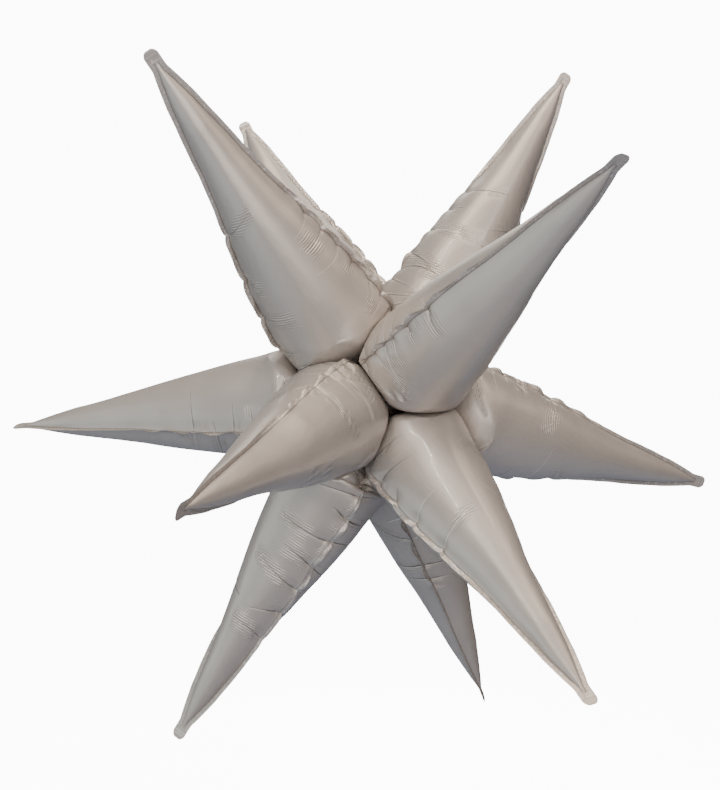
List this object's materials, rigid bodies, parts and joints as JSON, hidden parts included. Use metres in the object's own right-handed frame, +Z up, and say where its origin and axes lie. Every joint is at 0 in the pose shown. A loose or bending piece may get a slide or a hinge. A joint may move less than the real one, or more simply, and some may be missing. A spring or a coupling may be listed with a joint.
{
  "type": "starburst foil balloon",
  "caption": "Air-filled starburst foil balloon: tapered welded foil spikes pressed together at rounded bases and tied at the centre.",
  "frame": {"origin": "centre tie, where the tails of all the spikes are drawn together", "axes": "+Z up as the balloon hangs in the picture, +Y away from the viewer, +X to the viewer's right; the front spike points towards -Y"},
  "size_m": [0.668, 0.6384, 0.6103],
  "materials": {
    "foil": "satin",
    "tail_film": "satin",
    "tie_line": "matte"
  },
  "bodies": {
    "root": {"upper_left_spike_panel_1": "foil", "upper_left_spike_panel_2": "foil", "upper_left_spike_tail": "tail_film", "upper_left_rear_spike_panel_1": "foil", "upper_left_rear_spike_panel_2": "foil", "upper_left_rear_spike_tail": "tail_film", "upper_right_rear_spike_panel_1": "foil", "upper_right_rear_spike_panel_2": "foil", "upper_right_rear_spike_tail": "tail_film", "upper_right_spike_panel_1": "foil", "upper_right_spike_panel_2": "foil", "upper_right_spike_tail": "tail_film", "left_spike_panel_1": "foil", "left_spike_panel_2": "foil", "left_spike_tail": "tail_film", "front_spike_panel_1": "foil", "front_spike_panel_2": "foil", "front_spike_tail": "tail_film", "right_spike_panel_1": "foil", "right_spike_panel_2": "foil", "right_spike_tail": "tail_film", "lower_right_spike_panel_1": "foil", "lower_right_spike_panel_2": "foil", "lower_right_spike_tail": "tail_film", "lower_right_rear_spike_panel_1": "foil", "lower_right_rear_spike_panel_2": "foil", "lower_right_rear_spike_tail": "tail_film", "lower_left_spike_panel_1": "foil", "lower_left_spike_panel_2": "foil", "lower_left_spike_tail": "tail_film", "rear_right_spike_panel_1": "foil", "rear_right_spike_panel_2": "foil", "rear_right_spike_tail": "tail_film", "rear_left_spike_panel_1": "foil", "rear_left_spike_panel_2": "foil", "rear_left_spike_tail": "tail_film", "centre_tie": "tie_line"}
  },
  "joints": []
}
